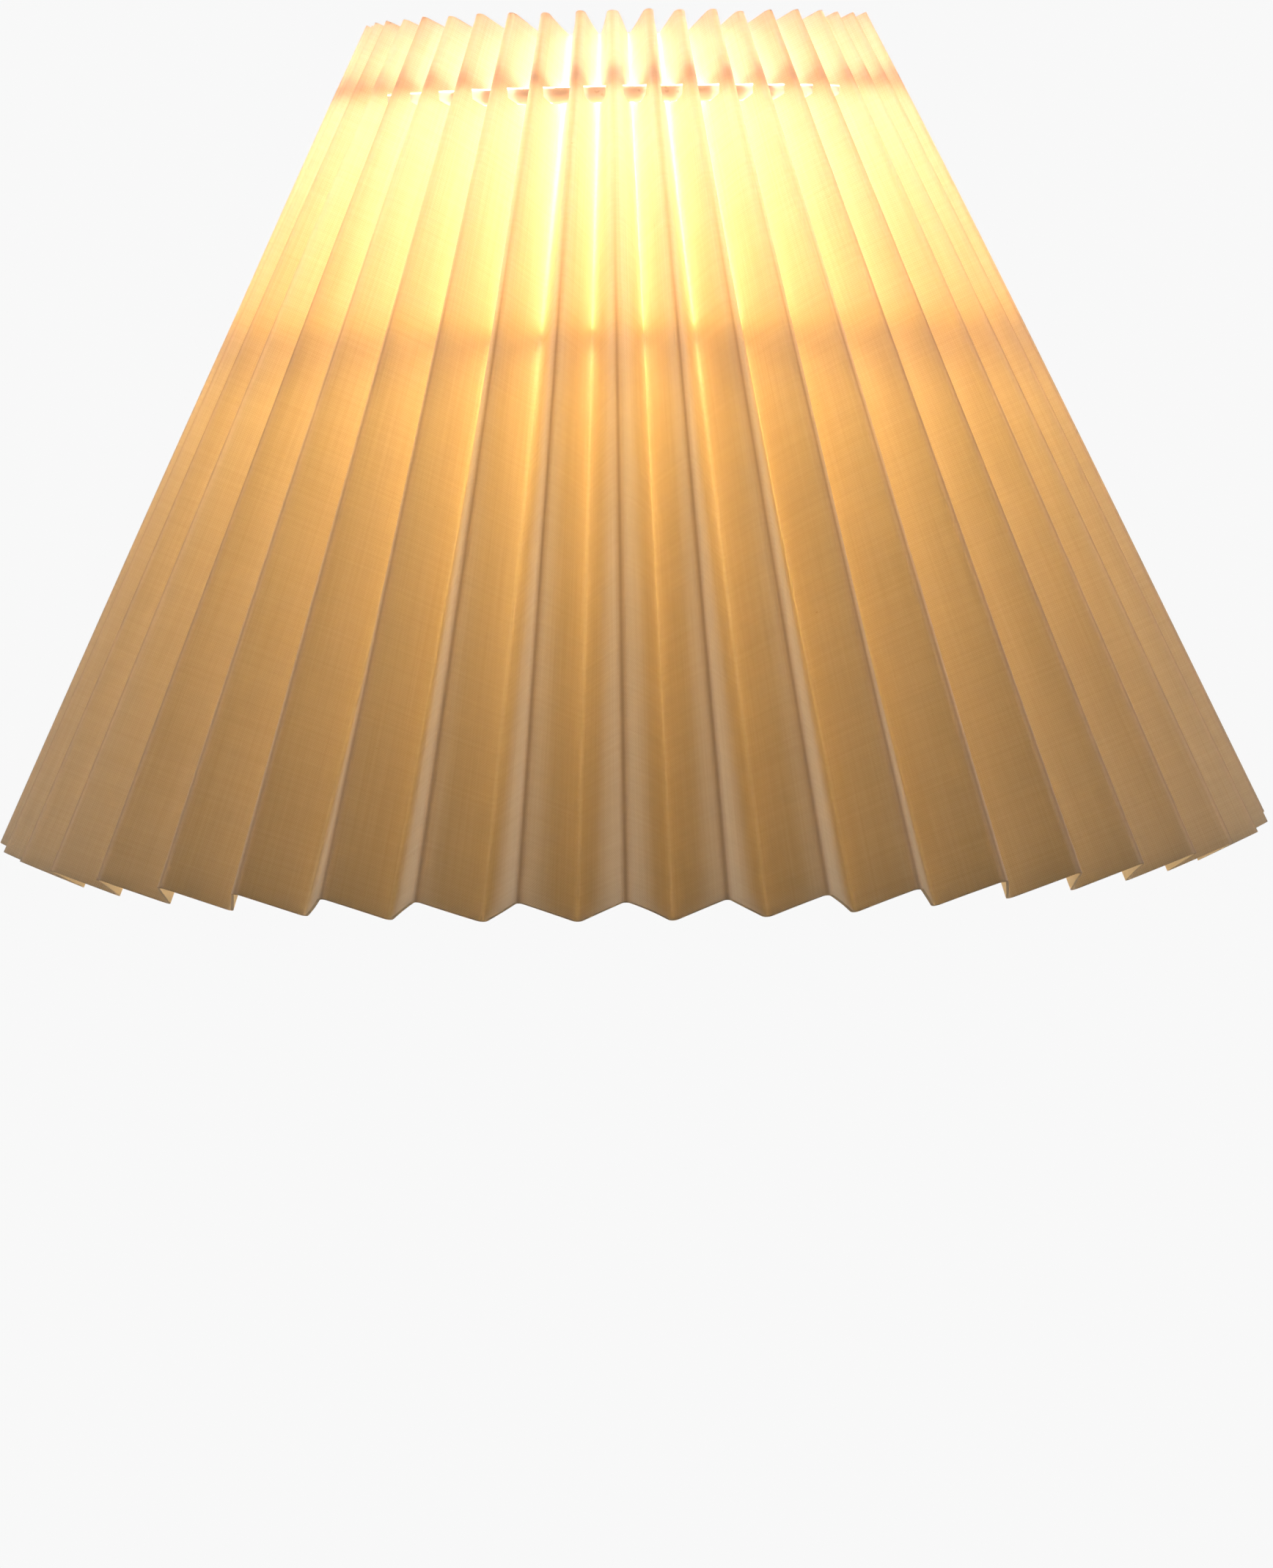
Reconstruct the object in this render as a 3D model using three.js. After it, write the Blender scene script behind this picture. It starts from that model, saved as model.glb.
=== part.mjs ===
// Accordion-pleated conical lamp shade on a wire carrier.
//
// Units are millimetres and +Z is up. The origin is on the shade's axis, in the plane of the
// fitter ring's underside, where the shade sits on the shoulder of a lamp holder. -Y is the front.
//
// The cover is one rectangular strip of laminated cloth. Its folds are parallel in the flat strip,
// and both of its long edges are square to the folds. Bent into a cone, the inner folds therefore
// end lower than the outer folds, at the hem and at the top alike.

import * as THREE from 'three';
import { mergeVertices } from 'three/addons/utils/BufferGeometryUtils.js';

// Pleated cover
const pleatCount = 44;
const hemRadius = 150; // outer folds, at the hem
const topRadius = 60; // outer folds, at the top
const stripHeight = 211; // length of every fold
const facetWidth = 17.5; // from one fold to the next, on the flat strip
const clothThickness = 0.6;
const foldNose = 1.0; // width of the blunt tip of each fold
const seamMargin = 2; // bare cloth at each side of the glued lap

// Wire rings and arms
const fitterHeight = 95; // underside of the fitter ring above the lowest tips of the hem
const topRingHeight = 176.5; // above the same tips
const topRingRadius = 59.2;
const topRingWire = 3.4;
const notchShoulderDrop = 0.5; // the notch is widest up to this far below the ring's centre
const notchHeadroom = 0.5; // over the ring, beside its play
const notchFloorReach = 0.7; // beyond the ring's play, outwards
const notchRoofReach = 0.8; // beyond the ring's centre line, outwards
const carrierRingHeight = 123;
const carrierRingWire = 3.2;
const armCount = 3;
const armWire = 3.0;
const frontArmAngle = 17; // degrees, from the front towards the right
const armLevelRun = 5; // level stretch beside the fitter ring, before the arm climbs

// Fitter ring, for a lamp holder with a 40 mm outer thread
const fitterHoleRadius = 21;
const fitterOuterRadius = 28;
const fitterThickness = 1.6;
const fitterBevel = 0.3;

const gap = 0.3; // between pieces that touch

// Facets of the round pieces
const wireSides = 8;
const topRingSides = 66;
const carrierRingSides = 72;
const fitterSides = 48;
const armSteps = 14;

const degree = Math.PI / 180;
const foldAngle = Math.PI / pleatCount; // from an outer fold to the next inner fold
const coneAngle = Math.asin((hemRadius - topRadius) / stripHeight);

// ---------- solids ----------

// Closed mesh from a list of points, three to a triangle.
function solidFrom(points) {
  const geometry = new THREE.BufferGeometry().setFromPoints(points);
  const merged = mergeVertices(geometry, 1e-4);
  merged.computeVertexNormals();
  return merged;
}

// A closed ring turned about Z from a closed outline of [radius, height] corners.
function turned(corners, segments) {
  const outline = [...corners, corners[0]].map(([r, z]) => new THREE.Vector2(r, z));
  const geometry = new THREE.LatheGeometry(outline, segments);
  geometry.rotateX(Math.PI / 2);
  return geometry;
}

function wireRing(radius, height, wire, segments) {
  const corners = [];
  for (let i = 0; i < wireSides; i += 1) {
    const turn = (i + 0.5) / wireSides * 2 * Math.PI;
    corners.push([radius + wire / 2 * Math.cos(turn), height + wire / 2 * Math.sin(turn)]);
  }
  return turned(corners, segments);
}

function wireAlong(path, wire, steps) {
  const section = new THREE.Shape();
  section.absarc(0, 0, wire / 2, 0, 2 * Math.PI);
  return new THREE.ExtrudeGeometry(section, {
    extrudePath: path,
    steps,
    curveSegments: wireSides / 2,
  });
}

// ---------- pleats ----------

// Depth of a pleat, square to its folds, where the outer folds stand at the given radius.
function pleatDepth(radius) {
  const spread = Math.tan(foldAngle) ** 2;
  const slope = Math.cos(coneAngle);
  const a = 1 + spread * slope ** 2;
  const b = spread * radius * slope;
  const c = spread * radius ** 2 - facetWidth ** 2;
  return (b + Math.sqrt(b ** 2 - a * c)) / a;
}

const hemDepth = pleatDepth(hemRadius);
const topDepth = pleatDepth(topRadius);
const hemDrop = hemDepth * Math.sin(coneAngle);
const topDrop = topDepth * Math.sin(coneAngle);
const outerTopHeight = hemDrop + stripHeight * Math.cos(coneAngle);

// Distance from the axis and height above the hem's tips of a fold's two ends.
const foldEnds = {
  outer: {
    hem: { radius: hemRadius, height: hemDrop },
    top: { radius: topRadius, height: outerTopHeight },
  },
  inner: {
    hem: { radius: innerRadius(hemRadius, hemDepth), height: 0 },
    top: { radius: innerRadius(topRadius, topDepth), height: outerTopHeight - topDrop },
  },
};

function innerRadius(outerRadius, depth) {
  return (outerRadius - depth * Math.cos(coneAngle)) / Math.cos(foldAngle);
}

// A fold's radius at a height above the hem's tips.
function foldRadiusAt(kind, height) {
  const { hem, top } = foldEnds[kind];
  const share = (height - hem.height) / (top.height - hem.height);
  return THREE.MathUtils.lerp(hem.radius, top.radius, share);
}

const kindOf = (fold) => (fold % 2 === 0 ? 'outer' : 'inner');

// The two corners of a fold's blunt tip, at the hem or at the top. Fold 0 is an outer fold at the
// front, and the folds go round anticlockwise seen from above.
function foldCorners(fold, level) {
  const { radius, height } = foldEnds[kindOf(fold)][level];
  const angle = fold * foldAngle - Math.PI / 2;
  const out = new THREE.Vector3(Math.cos(angle), Math.sin(angle), 0);
  const along = new THREE.Vector3(-Math.sin(angle), Math.cos(angle), 0);
  return [-foldNose / 2, foldNose / 2].map((side) => out.clone()
    .multiplyScalar(radius)
    .addScaledVector(along, side)
    .setZ(height));
}

// The pleat line runs round the hem or the top through both corners of every fold. Panel i lies
// between its corners i and i + 1: an even panel is a fold's blunt tip, and an odd one is a facet.
const panelCount = 4 * pleatCount;
const [hemLine, topLine] = ['hem', 'top'].map((level) => (
  Array.from({ length: 2 * pleatCount }, (_, fold) => foldCorners(fold, level)).flat()
));

function panelNormal(panel) {
  const next = (panel + 1) % panelCount;
  const across = hemLine[next].clone().sub(hemLine[panel]).add(topLine[next]).sub(topLine[panel]);
  const up = topLine[panel].clone().sub(hemLine[panel]);
  return across.cross(up).normalize();
}

const normals = Array.from({ length: panelCount }, (_, panel) => panelNormal(panel));

// A point of the cloth's middle surface: u runs across a panel, and v up it.
function middle(panel, u, v) {
  const next = (panel + 1) % panelCount;
  const low = hemLine[panel].clone().lerp(hemLine[next], u);
  const high = topLine[panel].clone().lerp(topLine[next], u);
  return low.lerp(high, v);
}

// The same point carried outwards by a distance, so that neighbouring panels stay joined.
function surface(panel, u, v, distance) {
  const own = normals[panel];
  const sides = { 0: normals[(panel + panelCount - 1) % panelCount], 1: normals[(panel + 1) % panelCount] };
  const other = sides[u] ?? own;
  const shift = own.clone().add(other).multiplyScalar(distance / (1 + own.dot(other)));
  return middle(panel, u, v).add(shift);
}

// Triangles of one panel's front and back, and of a wall along each edge that isn't a fold. The
// outline's [u, v] corners run anticlockwise as seen from outside.
function panelSkin(outline, front, back) {
  const near = outline.map(([u, v]) => front(u, v));
  const far = outline.map(([u, v]) => back(u, v));
  const points = [];
  const contour = outline.map(([u, v]) => new THREE.Vector2(u, v));
  for (const [a, b, c] of THREE.ShapeUtils.triangulateShape(contour, [])) {
    points.push(near[a], near[b], near[c], far[a], far[c], far[b]);
  }
  outline.forEach(([u], i) => {
    const j = (i + 1) % outline.length;
    const alongFold = u === outline[j][0] && (u === 0 || u === 1);
    if (!alongFold) {
      points.push(near[i], far[i], far[j], near[i], far[j], near[j]);
    }
  });
  return points;
}

// Share of the way up a facet at which it reaches a height, at a share of the way across it from
// its outer fold to its inner fold.
function shareUp(across, height) {
  const { outer, inner } = foldEnds;
  const low = THREE.MathUtils.lerp(outer.hem.height, inner.hem.height, across);
  const high = THREE.MathUtils.lerp(outer.top.height, inner.top.height, across);
  return (height - low) / (high - low);
}

// Share of the way across a facet at which it has a radius, at a height.
function shareAcross(radius, height) {
  const outer = foldRadiusAt('outer', height);
  return (outer - radius) / (outer - foldRadiusAt('inner', height));
}

// The notch has room for the top ring and its play. It narrows upwards, so the ring snaps in.
const notchPlay = topRingWire / 2 + gap;
const notch = {
  floor: topRingHeight - notchPlay,
  shoulder: topRingHeight - notchShoulderDrop,
  roof: topRingHeight + notchPlay + notchHeadroom,
  wideRadius: topRingRadius + notchPlay + notchFloorReach,
  narrowRadius: topRingRadius + notchRoofReach,
};

// Outline of a facet with half a notch in its inner fold. It covers the facet from one share of
// the way across to another, counted from its outer fold to its inner fold.
function facetOutline(from, to) {
  const corner = (across, height) => [across, shareUp(across, height)];
  const wide = shareAcross(notch.wideRadius, notch.floor);
  const shoulder = shareAcross(notch.wideRadius, notch.shoulder);
  const narrow = shareAcross(notch.narrowRadius, notch.roof);
  return [
    [from, 0],
    [to, 0],
    corner(to, notch.floor),
    corner(wide, notch.floor),
    corner(shoulder, notch.shoulder),
    corner(narrow, notch.roof),
    corner(to, notch.roof),
    [to, 1],
    [from, 1],
  ];
}

const mirrored = (outline) => outline.map(([u, v]) => [1 - u, v]).reverse();
const stripe = (low, high) => [[0, low], [1, low], [1, high], [0, high]];

function panelOutlines(panel) {
  const fold = Math.floor(panel / 2);
  const kind = kindOf(fold);
  if (panel % 2 === 1) {
    const facet = facetOutline(0, 1);
    return [kind === 'outer' ? facet : mirrored(facet)];
  }
  if (kind === 'outer') {
    return [stripe(0, 1)];
  }
  return [stripe(0, shareUp(1, notch.floor)), stripe(shareUp(1, notch.roof), 1)];
}

function pleatedCover() {
  const points = [];
  for (let panel = 0; panel < panelCount; panel += 1) {
    const front = (u, v) => surface(panel, u, v, clothThickness / 2);
    const back = (u, v) => surface(panel, u, v, -clothThickness / 2);
    for (const outline of panelOutlines(panel)) {
      points.push(...panelSkin(outline, front, back));
    }
  }
  return solidFrom(points);
}

// The end of the strip, glued inside one facet at the back.
function seamLap() {
  const panel = 2 * pleatCount + 1;
  const margin = seamMargin / facetWidth;
  const near = clothThickness / 2 + gap;
  const inside = (u, v, depth) => middle(panel, u, v).addScaledVector(normals[panel], -depth);
  const front = (u, v) => inside(u, v, near);
  const back = (u, v) => inside(u, v, near + clothThickness);
  return solidFrom(panelSkin(facetOutline(margin, 1 - margin), front, back));
}

// ---------- wire carrier ----------

// The cone of inner folds rests on the carrier ring, which is sized to meet it.
function carrierRingRadius() {
  const { hem, top } = foldEnds.inner;
  const slope = Math.atan2(hem.radius - top.radius, top.height - hem.height);
  const reach = clothThickness / 2 + gap + carrierRingWire / 2;
  return foldRadiusAt('inner', carrierRingHeight) - reach / Math.cos(slope);
}

// An arm leaves the fitter's rim level, bends, and climbs straight to the carrier ring.
function carrierArm(angle) {
  const start = fitterOuterRadius + gap;
  const bend = start + armLevelRun;
  const level = fitterHeight + fitterThickness / 2;
  const foot = new THREE.Vector2(bend, level);
  const ring = new THREE.Vector2(carrierRingRadius(), carrierRingHeight);
  const climb = ring.clone().sub(foot);
  const butt = carrierRingWire / 2 + gap;
  const end = ring.clone().addScaledVector(climb.clone().normalize(), -butt);
  const leave = foot.clone().lerp(end, armLevelRun / climb.length());
  const at = (r, z) => new THREE.Vector3(r * Math.cos(angle), r * Math.sin(angle), z);
  const path = new THREE.CurvePath();
  path.add(new THREE.QuadraticBezierCurve3(at(start, level), at(bend, level), at(leave.x, leave.y)));
  path.add(new THREE.LineCurve3(at(leave.x, leave.y), at(end.x, end.y)));
  return wireAlong(path, armWire, armSteps);
}

function fitterRing() {
  const low = fitterHeight;
  const high = fitterHeight + fitterThickness;
  return turned([
    [fitterHoleRadius, low + fitterBevel],
    [fitterHoleRadius + fitterBevel, low],
    [fitterOuterRadius - fitterBevel, low],
    [fitterOuterRadius, low + fitterBevel],
    [fitterOuterRadius, high - fitterBevel],
    [fitterOuterRadius - fitterBevel, high],
    [fitterHoleRadius + fitterBevel, high],
    [fitterHoleRadius, high - fitterBevel],
  ], fitterSides);
}

// ---------- assembly ----------

const clothMaterial = { color: 0xe6d6b8, roughness: 0.9, metalness: 0 };
const wireMaterial = { color: 0xeeeae2, roughness: 0.4, metalness: 0 };

const shade = new THREE.Group();
const carrier = new THREE.Group();
const cover = new THREE.Group();
carrier.position.z = -fitterHeight;
cover.position.z = -fitterHeight;
shade.add(carrier, cover);

function addPiece(group, name, geometry, look) {
  const mesh = new THREE.Mesh(geometry, new THREE.MeshStandardMaterial(look));
  mesh.name = name;
  group.add(mesh);
}

addPiece(cover, 'pleated_cover', pleatedCover(), clothMaterial);
addPiece(cover, 'seam_lap', seamLap(), clothMaterial);
const topRing = wireRing(topRingRadius, topRingHeight, topRingWire, topRingSides);
addPiece(cover, 'top_ring', topRing, wireMaterial);

const radius = carrierRingRadius();
const carrierRing = wireRing(radius, carrierRingHeight, carrierRingWire, carrierRingSides);
addPiece(carrier, 'carrier_ring', carrierRing, wireMaterial);
addPiece(carrier, 'fitter_ring', fitterRing(), wireMaterial);
for (let i = 0; i < armCount; i += 1) {
  const angle = (frontArmAngle - 90 + i * 360 / armCount) * degree;
  addPiece(carrier, `carrier_arm_${i + 1}`, carrierArm(angle), wireMaterial);
}

export default shade;
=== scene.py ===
"""Looks of an accordion-pleated lamp shade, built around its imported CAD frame.

Lengths are in metres and +Z is up. The shade's axis is Z, and -Y is the front. Seen from above,
folds are numbered anticlockwise from the outer fold at the front: even ones point outwards.
"""

import math

import bmesh
import bpy
import numpy as np
from mathutils import Matrix, Vector


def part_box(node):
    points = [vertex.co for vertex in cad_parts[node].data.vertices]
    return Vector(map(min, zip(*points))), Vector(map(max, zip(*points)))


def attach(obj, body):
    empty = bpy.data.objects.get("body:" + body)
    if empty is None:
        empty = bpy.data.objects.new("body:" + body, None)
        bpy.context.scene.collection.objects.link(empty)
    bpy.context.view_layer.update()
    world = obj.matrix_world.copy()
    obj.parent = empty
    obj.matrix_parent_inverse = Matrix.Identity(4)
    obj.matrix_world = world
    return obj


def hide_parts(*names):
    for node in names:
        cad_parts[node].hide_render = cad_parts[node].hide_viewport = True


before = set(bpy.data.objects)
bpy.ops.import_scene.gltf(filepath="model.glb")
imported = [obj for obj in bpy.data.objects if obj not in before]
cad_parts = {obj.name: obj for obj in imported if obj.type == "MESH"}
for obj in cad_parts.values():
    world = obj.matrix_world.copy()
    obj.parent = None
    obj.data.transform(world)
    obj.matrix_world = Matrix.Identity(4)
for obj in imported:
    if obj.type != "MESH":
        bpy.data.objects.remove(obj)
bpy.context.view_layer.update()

MM = 0.001

# The strip of cloth, as it was cut and pleated
PLEATS = 44
FOLDS = 2 * PLEATS
FACET = 17.5 * MM  # from one fold to the next
STRIP = 211 * MM  # length of every fold
CLOTH = 0.6 * MM  # thickness
HEM_RADIUS = 150 * MM  # of the outer folds
TOP_RADIUS = 60 * MM
FOLD_ANGLE = math.pi / PLEATS
CONE = math.asin((HEM_RADIUS - TOP_RADIUS) / STRIP)  # between an outer fold and the axis

# Creases: radius of the cloth's middle surface round a fold, at the hem and at the top
OUTER_CREASE = (1.25 * MM, 0.9 * MM)
INNER_CREASE = (1.2 * MM, 0.5 * MM)
TIP_ALLOWANCE = (1.0 * MM, 1.8 * MM)  # makes up for what the rounding takes off the outer folds

# Unevenness of the pleats, as sine waves fitted by a scratch script to the folds seen in front:
# (waves round the shade, degrees, phase in degrees)
HEM_DRIFT = ((1, 0.92, -3), (2, 0.36, 27), (3, 0.56, 101))
TOP_DRIFT = ((1, 2.1, -179), (2, 1.1, 170), (3, 0.7, 89))
DRIFT_AT_FRONT = -1.6  # degrees
FOLD_SCATTER = (0.12, 0.38)  # degrees, at the hem and at the top
FACET_BOW = 0.35 * MM
TOP_PINCH = 0.35 * MM  # how far a pleat's two sides draw together at the top, between its folds

# The end of the strip, glued inside the facet after the fold at the back
LAP_MARGIN = 2 * MM  # from each fold
LAP_GLUE = 0.15 * MM

# Wires and plate
TOP_WIRE = 3.4 * MM
CARRIER_WIRE = 3.2 * MM
ARM_WIRE = 3.0 * MM
ARM_LEVEL_RUN = 5 * MM
ARM_ANGLES = (-73, 47, 167)  # degrees, from +X
WELD_SINK = 0.4 * MM  # how far an arm's ends sink into what they are welded to
ARM_FLARE = 1.6 * MM  # length of the weld's flare at an arm's end
RING_WELD = 1.2 * MM  # length of the swelling at a ring's butt weld
PLATE_HOLE = 21 * MM
PLATE_GROOVE = 0.35 * MM  # depth

TIPS_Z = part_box("pleated_cover")[0].z


def ring_of(node):
    """(radius, height) of the middle of a wire ring's wire."""
    low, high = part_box(node)
    wire = high.z - low.z
    return (high.x - low.x - wire) / 2, (high.z + low.z) / 2


top_ring_radius, top_ring_z = ring_of("top_ring")
carrier_radius, carrier_z = ring_of("carrier_ring")
rng = np.random.default_rng(44)


# ---------- pleats ----------


def unit(vectors):
    return vectors / np.linalg.norm(vectors, axis=-1, keepdims=True)


def pleat_depth(radius, half_pitch):
    """Depth of a pleat, square to its folds, that keeps a facet's width where folds stand apart."""
    spread = np.tan(half_pitch) ** 2
    slope = math.cos(CONE)
    a = 1 + spread * slope**2
    b = spread * radius * slope
    c = spread * radius**2 - FACET**2
    return (b + np.sqrt(b**2 - a * c)) / a


def drift(angles, waves):
    """How far folds at these angles stand from their regular places."""
    turn = sum(size * np.sin(n * angles + math.radians(phase)) for n, size, phase in waves)
    return np.radians(turn + DRIFT_AT_FRONT)


def fold_ends(level):
    """Ends of all folds at the hem (level 0) or at the top (level 1), as one point a fold."""
    regular = np.arange(FOLDS) * FOLD_ANGLE
    angles = regular + drift(regular, (HEM_DRIFT, TOP_DRIFT)[level])
    angles += np.radians(FOLD_SCATTER[level]) * rng.standard_normal(FOLDS)
    half_pitch = (np.roll(angles, -1) - np.roll(angles, 1)) % (2 * math.pi) / 2
    radius = (HEM_RADIUS, TOP_RADIUS)[level]
    drop = pleat_depth(HEM_RADIUS, FOLD_ANGLE) * math.sin(CONE)
    height = TIPS_Z + drop + level * STRIP * math.cos(CONE)
    inner = np.arange(FOLDS) % 2
    depth = inner * pleat_depth(radius, half_pitch)
    radii = radius + TIP_ALLOWANCE[level] - depth * math.cos(CONE)
    radii = np.where(inner == 1, radii / np.cos(half_pitch), radii)
    heights = height - depth * math.sin(CONE)
    azimuth = angles - math.pi / 2
    return np.stack([radii * np.cos(azimuth), radii * np.sin(azimuth), heights], axis=1)


hem_ends = fold_ends(0)
top_ends = fold_ends(1)
bows = FACET_BOW * rng.standard_normal(FOLDS)


def fold_point(fold, v):
    """A point of a fold before it is rounded, a share v of the way from the hem to the top."""
    fold = fold % FOLDS
    return (1 - v)[..., None] * hem_ends[fold] + v[..., None] * top_ends[fold]


def crease_radius(fold, v):
    outer = OUTER_CREASE[0] + (OUTER_CREASE[1] - OUTER_CREASE[0]) * v
    inner = INNER_CREASE[0] + (INNER_CREASE[1] - INNER_CREASE[0]) * v
    return np.where(fold % 2 == 0, outer, inner)


def rounding(fold, way, v, away):
    """Shift that brings a facet's point, at a distance from a fold, onto the fold's round crease.

    The facet is the one that lies in the given way from the fold: 1 is ahead of it, -1 behind."""
    corner = fold_point(fold, v)
    ahead = unit(fold_point(fold + 1, v) - corner)
    back = unit(fold_point(fold - 1, v) - corner)
    inward = unit(ahead + back)
    side = unit(ahead - back) * way
    half = np.arccos(np.sum(ahead * inward, axis=-1))
    radius = crease_radius(fold, v)
    reach = radius / np.tan(half)
    share = np.clip(away / reach, 0, 1)
    turn = share * (math.pi / 2 - half)
    sideways = radius * np.sin(turn) - share * reach * np.sin(half)
    deeper = radius / np.sin(half) - radius * np.cos(turn) - share * reach * np.cos(half)
    return side * sideways[..., None] + inward * deeper[..., None]


def cloth_point(fold, u, v):
    """A point of the cloth's middle surface: u runs from a fold to the next, v from hem to top."""
    low, high = fold_point(fold, v), fold_point(fold + 1, v)
    up = fold_point(fold, np.ones_like(v)) - fold_point(fold, np.zeros_like(v))
    square = unit(np.cross(high - low, up))
    bow = bows[fold % FOLDS] * np.sin(math.pi * u) * np.sin(math.pi * (0.15 + 0.7 * v))
    across = np.where(fold % 2 == 0, u, 1 - u)
    pinch = TOP_PINCH * across * np.sin(math.pi * u) * v**4
    point = low + (high - low) * u[..., None]
    point += square * (bow - pinch)[..., None]
    point += rounding(fold, 1, v, u * FACET)
    point += rounding(fold + 1, -1, v, (1 - u) * FACET)
    return point


def cloth_normal(fold, u, v):
    """The way out of the cloth's outer side. On a fold, it is taken across the fold's two facets."""
    step = 0.004
    across = cloth_point(fold, np.clip(u + step, 0, 1), v) - cloth_point(fold, np.clip(u - step, 0, 1), v)
    at_start = u < 0.5
    own = cloth_point(fold, np.where(at_start, step, 1 - step), v)
    other = cloth_point(fold + np.where(at_start, -1, 1), np.where(at_start, 1 - step, step), v)
    over_fold = np.where(at_start[..., None], own - other, other - own)
    on_fold = np.minimum(u, 1 - u) < 1e-9
    across = np.where(on_fold[..., None], over_fold, across)
    above = cloth_point(fold, u, np.clip(v + step, 0, 1))
    below = cloth_point(fold, u, np.clip(v - step, 0, 1))
    return unit(np.cross(across, above - below))


# ---------- notches ----------

# The top ring lies in notches cut through the inner folds. A notch ends in the facet each side.
NOTCH_PLAY = 0.15 * MM
NOTCH_FLOOR = top_ring_z - TOP_WIRE / 2 - NOTCH_PLAY
NOTCH_ROOF = top_ring_z + TOP_WIRE / 2 + 2 * NOTCH_PLAY
NOTCH_SHOULDER = top_ring_z - 0.5 * MM  # the notch narrows from here down to its floor
NOTCH_WIDE = top_ring_radius + TOP_WIRE / 2 + 3.0 * MM
NOTCH_NARROW = top_ring_radius + 1.2 * MM

# Shares of the way across a facet, from its outer fold to the notch and on to its inner fold
OUTER_COLUMNS = np.array([0, 0.02, 0.045, 0.08, 0.13, 0.2, 0.32, 0.52, 0.76, 1.0])
INNER_COLUMNS = np.array([0.2, 0.45, 0.67, 0.82, 0.9, 0.95, 0.98, 1.0])
NOTCH_COLUMN = len(OUTER_COLUMNS) - 1
PLAIN_SPLIT = 0.47  # share across a facet of the notch's column, where there is no notch
ROWS_BELOW = 22
ROWS_IN = 5
ROWS_ABOVE = 5
ROWS_BENT = 3  # rows each side of the notch over which its column comes back to its plain place

# Mean heights and radii of the outer (0) and inner (1) folds, each at the hem and at the top
fold_heights = [(hem_ends[kind::2, 2].mean(), top_ends[kind::2, 2].mean()) for kind in (0, 1)]
fold_radii = [
    tuple(np.hypot(ends[kind::2, 0], ends[kind::2, 1]).mean() for ends in (hem_ends, top_ends))
    for kind in (0, 1)
]


def share_up(across, z):
    """Share of the way up at which a facet, a share across from its outer fold, reaches z."""
    (outer_low, outer_high), (inner_low, inner_high) = fold_heights
    low = outer_low + (inner_low - outer_low) * across
    high = outer_high + (inner_high - outer_high) * across
    return (z - low) / (high - low)


def share_across(radius, z):
    """Share of the way across, from the outer fold, at which a facet has this radius at height z."""

    def radius_of(kind):
        low, high = fold_heights[kind]
        at_hem, at_top = fold_radii[kind]
        return at_hem + (at_top - at_hem) * (z - low) / (high - low)

    return (radius_of(0) - radius) / (radius_of(0) - radius_of(1))


def notch_column(row, inside):
    """Share across a facet of the column that ends the notch, in a row of the facet's grid."""
    z = NOTCH_FLOOR + inside * (NOTCH_ROOF - NOTCH_FLOOR)
    heights = [NOTCH_FLOOR, NOTCH_SHOULDER, NOTCH_ROOF]
    edge = np.interp(z, heights, [NOTCH_NARROW, NOTCH_WIDE, NOTCH_WIDE])
    rows_off = max(ROWS_BELOW - row, row - ROWS_BELOW - ROWS_IN, 0)
    near = max(0.0, 1 - rows_off / ROWS_BENT)
    return PLAIN_SPLIT + (share_across(edge, z) - PLAIN_SPLIT) * near


def facet_grid():
    """(across, v) of a facet's grid, counted from its outer fold, and the cells that are cut away."""
    rows = ROWS_BELOW + ROWS_IN + ROWS_ABOVE + 1
    columns = len(OUTER_COLUMNS) + len(INNER_COLUMNS)
    across = np.zeros((rows, columns))
    v = np.zeros((rows, columns))
    for row in range(rows):
        inside = np.clip((row - ROWS_BELOW) / ROWS_IN, 0, 1)
        split = notch_column(row, inside)
        across[row] = np.concatenate([OUTER_COLUMNS * split, split + (1 - split) * INNER_COLUMNS])
        floor = share_up(across[row], NOTCH_FLOOR)
        roof = share_up(across[row], NOTCH_ROOF)
        if row <= ROWS_BELOW:
            v[row] = floor * row / ROWS_BELOW
        elif row <= ROWS_BELOW + ROWS_IN:
            v[row] = floor + (roof - floor) * inside
        else:
            v[row] = roof + (1 - roof) * (row - ROWS_BELOW - ROWS_IN) / ROWS_ABOVE
    cut = np.zeros((rows - 1, columns - 1), bool)
    cut[ROWS_BELOW : ROWS_BELOW + ROWS_IN, NOTCH_COLUMN:] = True
    return across, v, cut


# ---------- meshes ----------

SHARP = math.radians(70)  # edges that turn more than this are shaded as edges


def add_mesh(name, points, faces, slots=None):
    mesh = bpy.data.meshes.new(name)
    mesh.from_pydata([tuple(p) for p in points], [], faces)
    if slots is not None:
        mesh.polygons.foreach_set("material_index", slots)
    mesh.polygons.foreach_set("use_smooth", [True] * len(mesh.polygons))
    mesh.update()
    mesh.set_sharp_from_angle(angle=SHARP)
    ob = bpy.data.objects.new(name, mesh)
    bpy.context.scene.collection.objects.link(ob)
    return ob


def add_values(mesh, name, values):
    attribute = mesh.attributes.new(name, "FLOAT", "POINT")
    attribute.data.foreach_set("value", np.asarray(values, np.float32))


def points_of_corners(mesh):
    points = np.zeros(len(mesh.loops), int)
    mesh.loops.foreach_get("vertex_index", points)
    return points


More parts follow.
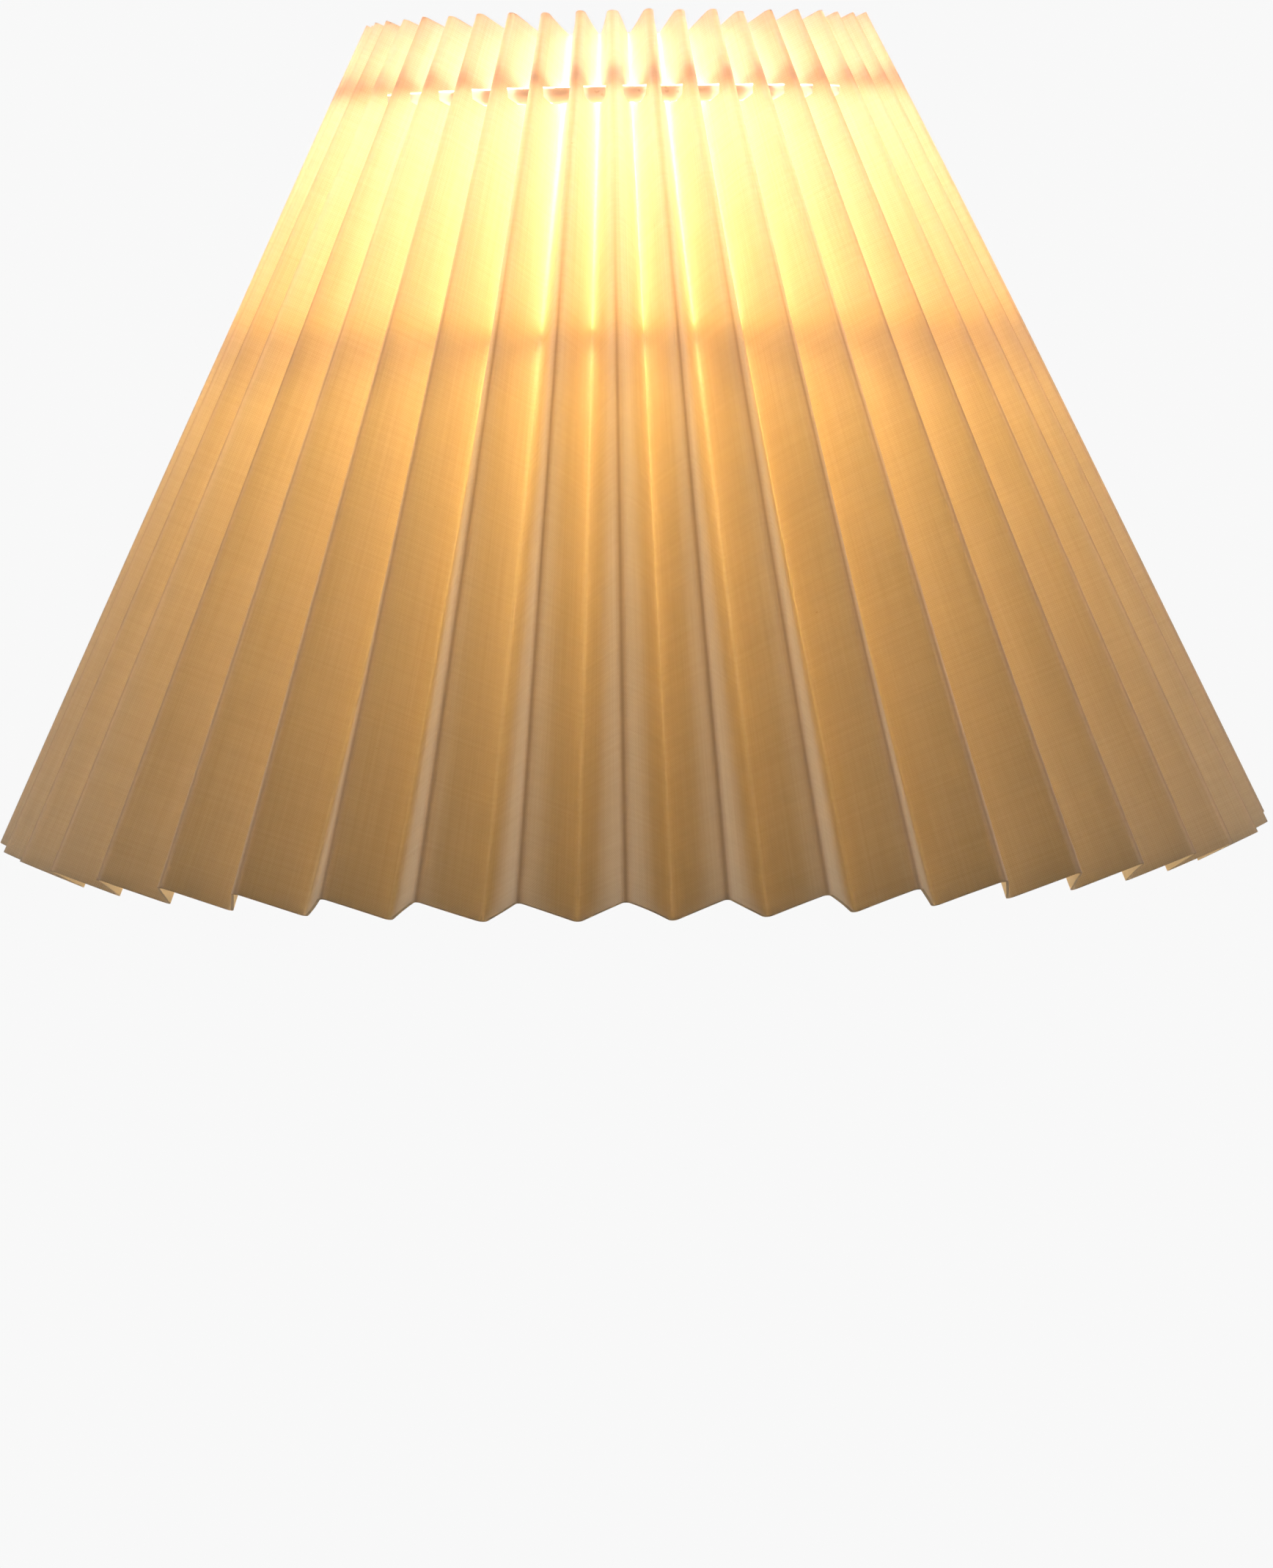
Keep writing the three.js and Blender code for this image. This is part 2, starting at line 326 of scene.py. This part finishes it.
def slab(name, middle, normals, cut, strip, closed):
    """A closed skin round a grid of middle points, with its outer side in slot 0, its inner in 1.

    Grid cells marked in cut are left out. strip holds each point's place on the flat strip."""
    rows, columns = middle.shape[:2]
    front = (middle + normals * CLOTH / 2).reshape(-1, 3)
    back = (middle - normals * CLOTH / 2).reshape(-1, 3)
    cells = columns if closed else columns - 1
    kept = np.zeros((rows + 1, cells + 2), bool)  # with a border of absent cells all round
    kept[1:rows, 1 : cells + 1] = ~cut
    if closed:
        kept[:, 0], kept[:, -1] = kept[:, -2], kept[:, 1]
    faces, slots = [], []

    def at(place, side):
        row, column = place
        return row * columns + column % columns + side * rows * columns

    for row in range(rows - 1):
        for column in range(cells):
            if not kept[row + 1, column + 1]:
                continue
            corners = [(row, column), (row, column + 1), (row + 1, column + 1), (row + 1, column)]
            faces.append(tuple(at(corner, 0) for corner in corners))
            faces.append(tuple(at(corner, 1) for corner in reversed(corners)))
            slots += [0, 1]
            for i, (down, left) in enumerate(((0, 1), (1, 2), (2, 1), (1, 0))):
                if not kept[row + down, column + left]:
                    a, b = corners[(i + 1) % 4], corners[i]
                    faces.append((at(a, 0), at(b, 0), at(b, 1), at(a, 1)))
                    slots.append(0)
    ob = add_mesh(name, np.concatenate([front, back]), faces, slots)
    places = np.concatenate([strip.reshape(-1, 2)] * 2)
    uv = ob.data.uv_layers.new(name="strip")
    uv.data.foreach_set("uv", places[points_of_corners(ob.data)].ravel())
    return ob


def drop_loose_points(ob):
    """Removes the points that no face uses, left where cells were cut."""
    used = np.zeros(len(ob.data.vertices), bool)
    used[points_of_corners(ob.data)] = True
    bm = bmesh.new()
    bm.from_mesh(ob.data)
    bm.verts.ensure_lookup_table()
    bmesh.ops.delete(bm, geom=[bm.verts[i] for i in np.flatnonzero(~used)], context="VERTS")
    bm.to_mesh(ob.data)
    bm.free()


# ---------- cover and lap ----------

LINE = 0.55 * MM  # half width of a fold's line: pressed cloth and painted shade on outer folds, clearer on inner
CREST_SHADE_WIDTH = 1.7 * MM  # half width of the painted shade along an outer fold's crest
# Fold marks: a line of pressed cloth and painted shade, a painted crest shade, and clearer inner folds
MARKS = ("crease_press_and_shade", "crest_shade_band", "inner_line")


def cover_grid():
    """(fold, u, v, cut) of the whole cover's grid: every facet's, next to one another."""
    across, v, cut = facet_grid()
    folds, shares, rises, cuts = [], [], [], []
    for fold in range(FOLDS):
        from_outer = fold % 2 == 0
        order = slice(None, -1) if from_outer else slice(None, 0, -1)
        shares.append(across[:, order] if from_outer else 1 - across[:, order])
        rises.append(v[:, order])
        folds.append(np.full(shares[-1].shape, fold))
        cuts.append(cut if from_outer else cut[:, ::-1])
    return [np.concatenate(part, axis=1) for part in (folds, shares, rises, cuts)]


def fold_marks(fold, u, v):
    """How much of each mark there is at each point, from 0 to 1."""
    away = np.minimum(u, 1 - u) * FACET
    on_outer = np.where(u < 0.5, fold, fold + 1) % 2 == 0
    line = np.exp(-((away / LINE) ** 2))
    crest_shade = np.exp(-((away / CREST_SHADE_WIDTH) ** 2))
    line_fade = np.clip(4 - 5 * v, 0, 1)  # the topmost part of an outer fold shows no dark line
    return on_outer * line * line_fade, on_outer * crest_shade, ~on_outer * line


def make_cover():
    fold, u, v, cut = cover_grid()
    strip = np.stack([(fold + u) * FACET, v * STRIP], axis=-1)
    middle = cloth_point(fold, u, v)
    ob = slab("cover_cloth", middle, cloth_normal(fold, u, v), cut, strip, closed=True)
    for name, values in zip(MARKS, fold_marks(fold, u, v)):
        add_values(ob.data, name, np.concatenate([values.ravel(), values.ravel()]))
    drop_loose_points(ob)
    return ob


def make_seam_lap():
    """The end of the strip, glued inside the facet after the fold at the back."""
    across, v, cut = facet_grid()
    margin = LAP_MARGIN / FACET
    u = margin + (1 - 2 * margin) * across
    fold = np.full(u.shape, PLEATS)
    strip = np.stack([(FOLDS + u) * FACET, v * STRIP], axis=-1)
    normals = cloth_normal(fold, u, v)
    middle = cloth_point(fold, u, v) - normals * (CLOTH + LAP_GLUE)
    ob = slab("seam_lap_cloth", middle, normals, cut, strip, closed=False)
    for name in MARKS:
        add_values(ob.data, name, np.zeros(len(ob.data.vertices)))
    drop_loose_points(ob)
    return ob


# ---------- wires and plate ----------


def tube_faces(rings, sides, closed):
    """Quads between rings of points, each joined to the next, and the last to the first if closed."""
    faces = []
    for i in range(rings if closed else rings - 1):
        a, b = i * sides, (i + 1) % rings * sides
        for j in range(sides):
            k = (j + 1) % sides
            faces.append((a + j, b + j, b + k, a + k))
    return faces


def sweep(name, centres, radii, sides, closed):
    """A round wire through points, with a radius at each."""
    centres = np.asarray(centres, float)
    count = len(centres)
    ahead, back = np.roll(centres, -1, axis=0), np.roll(centres, 1, axis=0)
    if not closed:
        ahead[-1], back[0] = centres[-1], centres[0]
    tangent = unit(ahead - back)
    side = unit(np.cross(tangent, [0, 0, 1.0]))
    up = np.cross(side, tangent)
    turn = (np.arange(sides) / sides * 2 * math.pi)[:, None, None]
    points = centres + np.asarray(radii)[:, None] * (np.cos(turn) * side + np.sin(turn) * up)
    points = points.transpose(1, 0, 2).reshape(-1, 3)
    faces = tube_faces(count, sides, closed)
    if not closed:
        faces.append(tuple(range(sides)))
        faces.append(tuple((count - 1) * sides + j for j in reversed(range(sides))))
    return add_mesh(name, points, faces)


def wire_ring(name, radius, z, wire, weld_angle):
    """A ring bent from wire, with the slight swelling of its butt weld."""
    count = 240
    turn = np.arange(count) / count * 2 * math.pi
    centres = np.stack([radius * np.cos(turn), radius * np.sin(turn), np.full(count, z)], axis=1)
    off = (turn - weld_angle + math.pi) % (2 * math.pi) - math.pi
    swelling = 1 + 0.10 * np.exp(-((off * radius / RING_WELD) ** 2))
    return sweep(name, centres, wire / 2 * swelling, 20, closed=True)


def arm_side_view():
    """An arm's middle line as (radius, height): level from the plate's rim, bent, then climbing."""
    plate_low, plate_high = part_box("fitter_ring")
    rim = plate_high.x
    level = (plate_low.z + plate_high.z) / 2
    start = Vector((rim - WELD_SINK, level))
    bend = Vector((rim + ARM_LEVEL_RUN, level))
    ring = Vector((carrier_radius, carrier_z))
    climb = (ring - bend).normalized()
    end = ring - climb * (CARRIER_WIRE / 2 - WELD_SINK)
    leave = bend + climb * ARM_LEVEL_RUN
    path = []
    for t in np.linspace(0, 1, 12, endpoint=False):
        path.append(start * (1 - t) ** 2 + bend * 2 * t * (1 - t) + leave * t**2)
    path += [leave + (end - leave) * t for t in np.linspace(0, 1, 22)]
    return path


def make_arm(name, angle):
    """An arm at an angle from +X. Welds flare its ends."""
    out = Vector((math.cos(angle), math.sin(angle), 0))
    centres = np.array([out * p.x + Vector((0, 0, p.y)) for p in arm_side_view()])
    run = np.concatenate([[0], np.cumsum(np.linalg.norm(np.diff(centres, axis=0), axis=1))])
    flare = np.exp(-((run / ARM_FLARE) ** 2)) + np.exp(-(((run[-1] - run) / ARM_FLARE) ** 2))
    return sweep(name, centres, ARM_WIRE / 2 * (1 + 0.3 * flare), 18, closed=False)


def plate_profile():
    """The plate's cut as (radius, height): two rolled edges, a grooved top and a flat underside."""
    low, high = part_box("fitter_ring")
    roll = (high.z - low.z) / 2
    near, far = PLATE_HOLE + roll, high.x - roll
    spread = np.linspace(0, 1, 15)[1:-1]

    def rolled(radius, start):
        turns = np.linspace(start, start + math.pi, 9)
        return [(radius + roll * math.cos(t), low.z + roll + roll * math.sin(t)) for t in turns]

    def top(t):
        groove = PLATE_GROOVE * math.exp(-(((t - 0.5) / 0.16) ** 2))
        return near + (far - near) * t, high.z - groove

    outer_edge, inner_edge = rolled(far, -math.pi / 2), rolled(near, math.pi / 2)
    underside = [(near + (far - near) * t, low.z) for t in spread]
    return outer_edge + [top(t) for t in reversed(spread)] + inner_edge + underside


def make_plate():
    """The pressed ring that sits on the lamp holder."""
    profile = plate_profile()
    count = 128
    points = []
    for turn in np.arange(count) / count * 2 * math.pi:
        points += [(r * math.cos(turn), r * math.sin(turn), z) for r, z in profile]
    return add_mesh("fitter_plate", points, tube_faces(count, len(profile), closed=True))


# ---------- materials ----------


class Nodes:
    """Short names for adding and joining a material's nodes."""

    def __init__(self, name):
        self.material = bpy.data.materials.new(name)
        self.material.use_nodes = True
        self.tree = self.material.node_tree
        self.tree.nodes.clear()

    def add(self, kind, **inputs):
        node = self.tree.nodes.new("ShaderNode" + kind)
        for key, value in inputs.items():
            if hasattr(node, key) and key not in node.inputs:
                setattr(node, key, value)
            else:
                self.put(node.inputs[key.replace("_", " ")], value)
        return node

    def put(self, socket, value):
        if isinstance(value, bpy.types.NodeSocket):
            self.tree.links.new(value, socket)
        else:
            socket.default_value = value

    def math(self, operation, a, b=0.0, c=0.0):
        node = self.tree.nodes.new("ShaderNodeMath")
        node.operation = operation
        for socket, value in zip(node.inputs, (a, b, c)):
            self.put(socket, value)
        return node.outputs[0]

    def scaled(self, value, factor, plus=0.0):
        return self.math("MULTIPLY_ADD", value, factor, plus)

    def mix(self, factor, a, b):
        node = self.tree.nodes.new("ShaderNodeMix")
        node.data_type = "RGBA"
        self.put(node.inputs["Factor"], factor)
        self.put(node.inputs["A"], (*a, 1) if isinstance(a, tuple) else a)
        self.put(node.inputs["B"], (*b, 1))
        return node.outputs["Result"]

    def ramp(self, value, start, end, low=0.0, high=1.0):
        """Goes from low to high as the value goes from start to end."""
        node = self.add("MapRange", Value=value, From_Min=start, From_Max=end)
        self.put(node.inputs["To Min"], low)
        self.put(node.inputs["To Max"], high)
        return node.outputs["Result"]

    def noise(self, vector, scale=1.0, detail=2.0, roughness=0.5):
        node = self.add("TexNoise", Scale=scale, Detail=detail, Roughness=roughness, Vector=vector)
        return node.outputs["Fac"]

    def on_strip(self, across, along):
        """The place on the flat strip, in metres, times a scale each way."""
        uv = self.add("UVMap", uv_map="strip")
        mapping = self.add("Mapping", Vector=uv.outputs["UV"], Scale=(across, along, 1.0))
        return mapping.outputs["Vector"]

    def mark(self, name):
        return self.add("Attribute", attribute_name=name).outputs["Fac"]

    def bump(self, strength, distance, height):
        node = self.add("Bump", Strength=strength, Distance=distance, Height=height)
        return node.outputs["Normal"]

    def blend(self, factor, first, second):
        node = self.add("MixShader", Fac=factor)
        self.tree.links.new(first.outputs[0], node.inputs[1])
        self.tree.links.new(second.outputs[0], node.inputs[2])
        return node

    def finish(self, shader):
        output = self.tree.nodes.new("ShaderNodeOutputMaterial")
        self.tree.links.new(shader.outputs[0], output.inputs["Surface"])
        return self.material


THREAD = 0.55 * MM  # from one thread to the next
THROUGH_COTTON = 0.5  # share of the light on the outside of the cloth that goes through it
THROUGH_LINING = 0.42  # the same for the inside


def weave_pattern(n):
    """Plain weave: high where a thread of either kind is on top, and slightly wandering."""
    uv = n.add("UVMap", uv_map="strip")
    place = n.add("SeparateXYZ", Vector=uv.outputs["UV"])
    wander = n.math("MULTIPLY", n.noise(n.on_strip(900, 60)), 2.2)
    warp = n.math("SINE", n.scaled(place.outputs["X"], 2 * math.pi / THREAD, wander))
    weft = n.math("SINE", n.scaled(place.outputs["Y"], 2 * math.pi / THREAD, wander))
    return n.scaled(n.math("MULTIPLY", warp, weft), 0.5, 0.5)


def cotton():
    """Plain-woven cotton with warp along the folds, slubs, and pressed outer creases with painted shade.
    """
    n = Nodes("cloth_cotton")
    weave = weave_pattern(n)
    streaks = n.noise(n.on_strip(1500, 22), detail=3.0, roughness=0.6)
    picks = n.noise(n.on_strip(25, 1300), detail=3.0, roughness=0.6)
    slub = n.ramp(n.noise(n.on_strip(420, 1500), detail=1.0), 0.785, 0.83)
    blotches = n.noise(n.on_strip(18, 9), detail=3.0)
    crease_press_and_shade, crest_shade_band, inner_line = (n.mark(name) for name in MARKS)
    tone = n.scaled(weave, 0.42, n.math("MULTIPLY", streaks, 0.42))
    tone = n.scaled(blotches, 0.25, n.scaled(picks, 0.35, tone))
    tone = n.ramp(tone, 0.50, 0.96)
    colour = n.mix(tone, (0.76, 0.695, 0.59), (0.95, 0.90, 0.81))
    colour = n.mix(n.math("MULTIPLY", slub, 0.45), colour, (0.50, 0.42, 0.31))
    # a dark line along each outer fold: pressed cloth, and painted shade in the crease
    colour = n.mix(n.math("MULTIPLY", crease_press_and_shade, 0.5), colour, (0.46, 0.38, 0.29))
    through = n.mix(tone, (0.83, 0.74, 0.59), (1.0, 0.95, 0.84))
    through = n.mix(n.math("MULTIPLY", slub, 0.35), through, (0.55, 0.36, 0.18))
    # painted shade of the pleat's narrow wedge: dimmer, warmer light through the cloth along each crest
    through = n.mix(n.math("MULTIPLY", crest_shade_band, 0.5), through, (0.90, 0.66, 0.40))
    # the same line in the light through the cloth: painted shade of the crease, with its pressed cloth
    through = n.mix(n.math("MULTIPLY", crease_press_and_shade, 0.5), through, (0.45, 0.32, 0.19))
    through = n.mix(n.math("MULTIPLY", inner_line, 0.3), through, (1.0, 0.97, 0.85))
    relief = n.bump(0.35, 0.12 * MM, n.scaled(weave, 0.6, n.math("MULTIPLY", streaks, 0.8)))
    body = n.add("BsdfPrincipled", Base_Color=colour, Normal=relief)
    n.put(body.inputs["Roughness"], n.ramp(weave, 0.0, 1.0, 0.95, 0.78))
    n.put(body.inputs["Sheen Weight"], 0.25)
    n.put(body.inputs["Sheen Roughness"], 0.5)
    n.put(body.inputs["Specular IOR Level"], 0.25)
    glow = n.add("BsdfTranslucent", Color=through, Normal=relief)
    return n.finish(n.blend(THROUGH_COTTON, body, glow))


def lining():
    """The smooth film that stiffens the cloth, seen on the inside."""
    n = Nodes("cloth_lining")
    grain = n.noise(n.on_strip(300, 300), detail=3.0)
    drawn = n.noise(n.on_strip(60, 8))
    tone = n.scaled(grain, 0.4, n.math("MULTIPLY", drawn, 0.6))
    colour = n.mix(tone, (0.86, 0.80, 0.70), (0.94, 0.90, 0.83))
    # painted shade along the groove inside each outer fold, with its pressed cloth
    colour = n.mix(n.math("MULTIPLY", n.mark("crease_press_and_shade"), 0.35), colour, (0.60, 0.50, 0.37))
    through = n.mix(tone, (0.95, 0.87, 0.74), (1.0, 0.95, 0.86))
    through = n.mix(n.math("MULTIPLY", n.mark("inner_line"), 0.6), through, (1.0, 0.98, 0.90))
    relief = n.bump(0.15, 0.05 * MM, grain)
    body = n.add("BsdfPrincipled", Base_Color=colour, Normal=relief)
    n.put(body.inputs["Roughness"], n.ramp(grain, 0.0, 1.0, 0.5, 0.65))
    glow = n.add("BsdfTranslucent", Color=through, Normal=relief)
    return n.finish(n.blend(THROUGH_LINING, body, glow))


def powder_coat():
    """Off-white powder coat on steel wire, slightly yellowed at places, with a few specks."""
    n = Nodes("wire_powder_coat")
    place = n.add("TexCoord").outputs["Object"]
    peel = n.noise(place, 1400)
    patches = n.noise(place, 60, 3.0)
    specks = n.ramp(n.noise(place, 700, 1.0), 0.70, 0.76)
    colour = n.mix(patches, (0.86, 0.83, 0.76), (0.93, 0.91, 0.87))
    colour = n.mix(n.math("MULTIPLY", specks, 0.4), colour, (0.55, 0.50, 0.42))
    body = n.add("BsdfPrincipled", Base_Color=colour, Normal=n.bump(0.25, 0.06 * MM, peel))
    n.put(body.inputs["Roughness"], n.ramp(peel, 0.0, 1.0, 0.32, 0.5))
    n.put(body.inputs["Coat Weight"], 0.2)
    n.put(body.inputs["Coat Roughness"], 0.25)
    return n.finish(body)


# ---------- stage ----------

PALE = 0.94  # brightness of the floor and of what is seen behind
FLOOR_DROP = 0.17  # from the hem's tips down to the floor the lamp would stand on
FLOOR_REACH = 12  # from the axis to each edge
CAMERA_DISTANCE = 1.208
CAMERA_HEIGHT = 43.9 * MM
CAMERA_PITCH = 5.85  # degrees, downwards
CAMERA_YAW = -0.04
CAMERA_ROLL = 1.15
LENS = 116.8


def make_camera():
    data = bpy.data.cameras.new("camera")
    data.lens = LENS
    data.sensor_width = 36
    data.clip_start = 0.05
    data.clip_end = 50
    camera = bpy.data.objects.new("camera", data)
    bpy.context.scene.collection.objects.link(camera)
    look = Matrix.Rotation(math.radians(CAMERA_YAW), 4, "Z")
    look = look @ Matrix.Rotation(math.radians(90 - CAMERA_PITCH), 4, "X")
    look = look @ Matrix.Rotation(math.radians(-CAMERA_ROLL), 4, "Z")
    camera.matrix_world = Matrix.Translation((0, -CAMERA_DISTANCE, CAMERA_HEIGHT)) @ look
    bpy.context.scene.camera = camera


def add_light(name, kind, energy, colour, **settings):
    data = bpy.data.lights.new(name, kind)
    data.energy = energy
    data.color = colour
    for key, value in settings.items():
        setattr(data, key, value)
    light = bpy.data.objects.new(name, data)
    bpy.context.scene.collection.objects.link(light)
    light.visible_camera = False
    return light


# The clear part of the bulb: name, height above the carrier ring and radius in millimetres, power in
# watts, softness of the edge, green. It shines upwards only, leaning towards +X. Its blue makes up
# for the yellow that the cloth adds, as bright colours pale in a photograph.
BULB_PARTS = (
    ("bulb_neck", -4, 30, 0.32, 0.15, 0.50),
    ("bulb_body", 20, 44, 0.48, 0.5, 0.52),
    ("bulb_crown", 46, 32, 0.60, 0.1, 0.68),
)
BULB_TILT = math.radians(2.4)


def make_lamp():
    """The bulb's clear part, a warmer glow all round it, and what the lamp's base throws back."""
    for name, lift, radius, energy, blend, green in BULB_PARTS:
        colour = (0.88, green, 1.0)
        up = add_light(name, "SPOT", energy, colour, spot_size=math.pi, spot_blend=blend)
        up.data.shadow_soft_size = radius * MM
        up.location = (0, 0, carrier_z + lift * MM)
        up.rotation_euler = (math.pi, BULB_TILT, 0)
    glow = add_light("bulb_glow", "POINT", 1.54, (1.0, 0.672, 0.237), shadow_soft_size=26 * MM)
    glow.location = (0, 0, carrier_z + 14 * MM)
    back = add_light("base_reflection", "POINT", 0.245, (1.0, 0.70, 0.34), shadow_soft_size=60 * MM)
    back.location = (0, 0, TIPS_Z - 40 * MM)


def make_world():
    """Pale where the camera sees it, and a faint light for all else."""
    world = bpy.data.worlds.new("studio")
    bpy.context.scene.world = world
    world.use_nodes = True
    tree = world.node_tree
    tree.nodes.clear()
    seen = tree.nodes.new("ShaderNodeBackground")
    seen.inputs["Color"].default_value = (1, 1, 1, 1)
    seen.inputs["Strength"].default_value = PALE
    light = tree.nodes.new("ShaderNodeBackground")
    light.inputs["Color"].default_value = (0.93, 0.96, 1, 1)
    light.inputs["Strength"].default_value = 0.045
    path = tree.nodes.new("ShaderNodeLightPath")
    mix = tree.nodes.new("ShaderNodeMixShader")
    output = tree.nodes.new("ShaderNodeOutputWorld")
    tree.links.new(path.outputs["Is Camera Ray"], mix.inputs[0])
    tree.links.new(light.outputs[0], mix.inputs[1])
    tree.links.new(seen.outputs[0], mix.inputs[2])
    tree.links.new(mix.outputs[0], output.inputs[0])


def make_side_lights():
    for name, side in (("soft_left", -1), ("soft_right", 1)):
        soft = add_light(name, "AREA", 6.0, (1.0, 0.97, 0.94), size=0.8)
        soft.location = (1.35 * side, -0.30, 0.15)
        soft.rotation_euler = (-soft.location).to_track_quat("-Z", "Y").to_euler()


def floor_material():
    """Pale and even from above, and open from below, so that the shade can be seen from there."""
    n = Nodes("floor_pale")
    glow = n.add("Emission", Color=(1, 1, 1, 1), Strength=PALE)
    below = n.add("NewGeometry").outputs["Backfacing"]
    return n.finish(n.blend(below, glow, n.add("BsdfTransparent")))


def make_floor():
    sides = ((-1, -1), (1, -1), (1, 1), (-1, 1))
    corners = [(FLOOR_REACH * x, FLOOR_REACH * y, TIPS_Z - FLOOR_DROP) for x, y in sides]
    floor = add_mesh("floor", corners, [(0, 1, 2, 3)])
    floor.data.materials.append(floor_material())
    floor.visible_diffuse = False
    floor.visible_glossy = False
    floor.visible_transmission = False
    floor.visible_shadow = False


# ---------- the whole ----------


def dress(ob, body, node, slot, *materials):
    """Gives a piece its materials and the body it moves with, and hides its node. The slot is not used.
    """
    for material in materials:
        ob.data.materials.append(material)
    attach(ob, body)
    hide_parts(node)


def make_pieces():
    cloth, film, coat = cotton(), lining(), powder_coat()
    cover = make_cover()
    lap = make_seam_lap()
    dress(cover, "cover", "pleated_cover", "cloth", cloth, film)
    dress(lap, "cover", "seam_lap", "cloth", cloth, film)
    top = wire_ring("top_ring_wire", top_ring_radius, top_ring_z, TOP_WIRE, math.radians(115))
    dress(top, "cover", "top_ring", "wire", coat)
    carrier = wire_ring("carrier_ring_wire", carrier_radius, carrier_z, CARRIER_WIRE, math.radians(80))
    dress(carrier, "carrier", "carrier_ring", "wire", coat)
    dress(make_plate(), "carrier", "fitter_ring", "wire", coat)
    for i, angle in enumerate(ARM_ANGLES, start=1):
        arm = make_arm(f"carrier_arm_wire_{i}", math.radians(angle))
        dress(arm, "carrier", f"carrier_arm_{i}", "wire", coat)


bpy.context.scene.view_settings.view_transform = "Standard"
bpy.context.scene.cycles.diffuse_bounces = 8
make_camera()
make_pieces()
make_lamp()
make_world()
make_side_lights()
make_floor()
